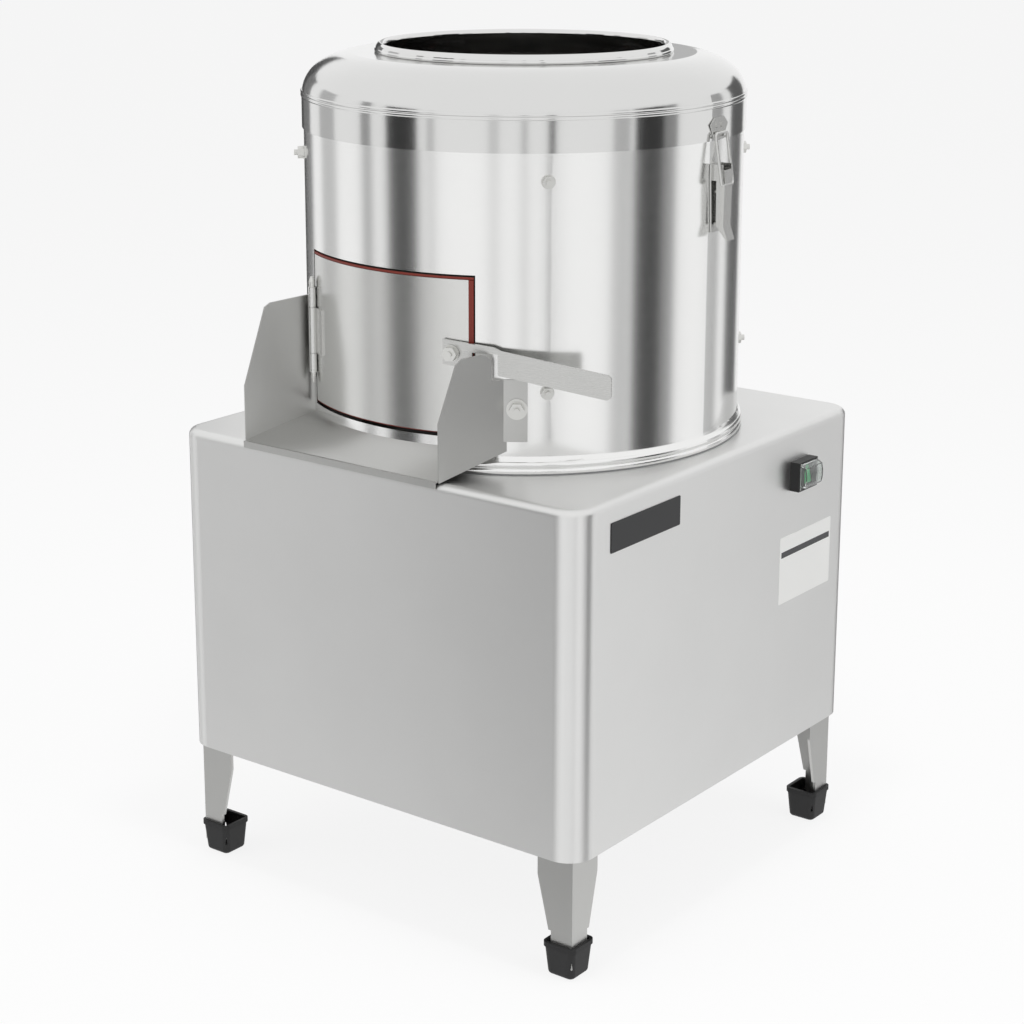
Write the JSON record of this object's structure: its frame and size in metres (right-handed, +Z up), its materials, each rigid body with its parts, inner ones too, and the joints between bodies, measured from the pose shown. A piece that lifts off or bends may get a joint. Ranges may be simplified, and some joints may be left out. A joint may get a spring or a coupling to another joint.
{
  "type": "electric potato peeler",
  "caption": "Floor-standing drum potato peeler on a square cabinet: domed lid with toggle latches, feed opening, abrasive disc, hinged discharge door with lever, chute, legs with feet.",
  "frame": {"origin": "on the floor, under the middle of the box round the whole machine", "axes": "+Z up; -Y towards the front, where the chute and discharge door are; +X towards the side with the switch"},
  "size_m": [0.537, 0.567, 0.88],
  "materials": {
    "cabinet_sheet": "matte brushed stainless sheet",
    "tub_sheet": "polished rolled stainless sheet",
    "lid_sheet": "bright polished stainless sheet",
    "frame_steel": "bead-blasted stainless plate and angle",
    "foot_rubber": "matte black moulded rubber",
    "seal_rubber": "matte red-brown silicone",
    "belt_rubber": "matte cloth-faced belt rubber",
    "abrasive_coat": "coarse dark silicon-carbide coating",
    "fastener_steel": "bright turned stainless",
    "bearing_steel": "ground bearing steel",
    "motor_paint": "satin grey-blue stoved paint",
    "cast_aluminium": "as-cast and turned aluminium",
    "cast_iron": "machined grey iron",
    "black_plastic": "matte black moulded plastic",
    "green_plastic": "glossy translucent green plastic",
    "clear_plastic": "clear moulded polycarbonate"
  },
  "bodies": {
    "machine": {"abrasive_liner": "abrasive_coat", "base_frame": "frame_steel", "bearing_housing": "cast_iron", "bearing_lower": "bearing_steel", "bearing_upper": "bearing_steel", "cabinet_shell": "cabinet_sheet", "cable_gland": "black_plastic", "chute_bolt": "fastener_steel", "chute_cheek_left": "frame_steel", "chute_cheek_right": "frame_steel", "chute_floor": "frame_steel", "drain_pipe": "tub_sheet", "foot_front_left": "foot_rubber", "foot_front_right": "foot_rubber", "foot_rear_left": "foot_rubber", "foot_rear_right": "foot_rubber", "foot_screws": "fastener_steel", "hinge_fixed_leaf": "frame_steel", "hinge_pin": "fastener_steel", "latch_base_left": "frame_steel", "latch_base_right": "frame_steel", "leg_front_left": "frame_steel", "leg_front_right": "frame_steel", "leg_rear_left": "frame_steel", "leg_rear_right": "frame_steel", "liner_bolts": "fastener_steel", "motor_body": "motor_paint", "motor_bolts": "fastener_steel", "motor_fan_cover": "motor_paint", "motor_plate": "frame_steel", "motor_terminal_box": "black_plastic", "switch_housing": "black_plastic", "tub_base_ring": "tub_sheet", "tub_floor": "tub_sheet", "tub_wall": "tub_sheet", "v_belt": "belt_rubber", "water_inlet": "fastener_steel"},
    "disc_drive": {"main_shaft": "fastener_steel", "driven_pulley": "cast_aluminium", "abrasive_disc": "abrasive_coat", "disc_nut": "fastener_steel"},
    "motor_rotor": {"motor_shaft": "fastener_steel", "motor_pulley": "cast_aluminium"},
    "door": {"door_panel": "tub_sheet", "door_seal": "seal_rubber", "door_abrasive_pad": "abrasive_coat", "hinge_door_leaf": "frame_steel", "lever_pivot_bolt": "fastener_steel"},
    "door_lever": {"door_lever": "frame_steel"},
    "lid": {"lid_band": "lid_sheet", "lid_dome": "lid_sheet", "feed_collar": "lid_sheet", "latch_keepers": "frame_steel"},
    "latch_lever_right": {"latch_lever_right": "frame_steel"},
    "latch_bail_right": {"latch_bail_right": "fastener_steel"},
    "latch_lever_left": {"latch_lever_left": "frame_steel"},
    "latch_bail_left": {"latch_bail_left": "fastener_steel"},
    "switch_rocker": {"switch_rocker": "green_plastic"},
    "switch_cover": {"switch_cover": "clear_plastic"}
  },
  "joints": [
    {"name": "disc_spin", "type": "hinge", "parent": "machine", "child": "disc_drive", "pos_m": [-0.00946, -0.0215, 0.5], "axis": [0, 0, 1], "continuous": true},
    {"name": "motor_spin", "type": "hinge", "parent": "machine", "child": "motor_rotor", "pos_m": [-0.15946, -0.0215, 0.3], "axis": [0, 0, 1], "continuous": true},
    {"name": "door_swing", "type": "hinge", "parent": "machine", "child": "door", "pos_m": [-0.12961, -0.22067, 0.595], "axis": [0, 0, -1], "range_deg": [0, 70]},
    {"name": "lever_lift", "type": "hinge", "parent": "door", "child": "door_lever", "pos_m": [0.06731, -0.23831, 0.601], "axis": [0.3338, -0.9426, 0], "range_deg": [0, 100.1]},
    {"name": "lid_lift", "type": "slide", "parent": "machine", "child": "lid", "axis": [0, 0, 1], "range_m": [0, 0.036]},
    {"name": "latch_lever_right_swing", "type": "hinge", "parent": "machine", "child": "latch_lever_right", "pos_m": [0.22731, -0.00909, 0.762], "axis": [0.0523, -0.9986, 0], "range_deg": [0, 60.1]},
    {"name": "latch_bail_right_swing", "type": "hinge", "parent": "latch_lever_right", "child": "latch_bail_right", "pos_m": [0.23181, -0.00886, 0.752], "axis": [-0.0523, 0.9986, 0], "range_deg": [0, 160.1]},
    {"name": "latch_lever_left_swing", "type": "hinge", "parent": "machine", "child": "latch_lever_left", "pos_m": [-0.24624, -0.03391, 0.762], "axis": [-0.0523, 0.9986, 0], "range_deg": [0, 60.1]},
    {"name": "latch_bail_left_swing", "type": "hinge", "parent": "latch_lever_left", "child": "latch_bail_left", "pos_m": [-0.25073, -0.03414, 0.752], "axis": [0.0523, -0.9986, 0], "range_deg": [0, 160.1]},
    {"name": "rocker_tilt", "type": "hinge", "parent": "machine", "child": "switch_rocker", "pos_m": [0.25354, 0.122, 0.4305], "axis": [0, 1, 0], "range_deg": [0, 16]},
    {"name": "cover_flip", "type": "hinge", "parent": "machine", "child": "switch_cover", "pos_m": [0.26094, 0.122, 0.44425], "axis": [0, -1, 0], "range_deg": [0, 110]}
  ],
  "couplings": [
    {"joint": "motor_spin", "follows": "disc_spin", "ratio": 2.3438},
    {"joint": "lever_lift", "follows": "door_swing", "ratio": 1.43},
    {"joint": "latch_lever_right_swing", "follows": "lid_lift", "rad_per_m": 29.089},
    {"joint": "latch_bail_right_swing", "follows": "lid_lift", "rad_per_m": 77.57},
    {"joint": "latch_lever_left_swing", "follows": "lid_lift", "rad_per_m": 29.089},
    {"joint": "latch_bail_left_swing", "follows": "lid_lift", "rad_per_m": 77.57}
  ]
}
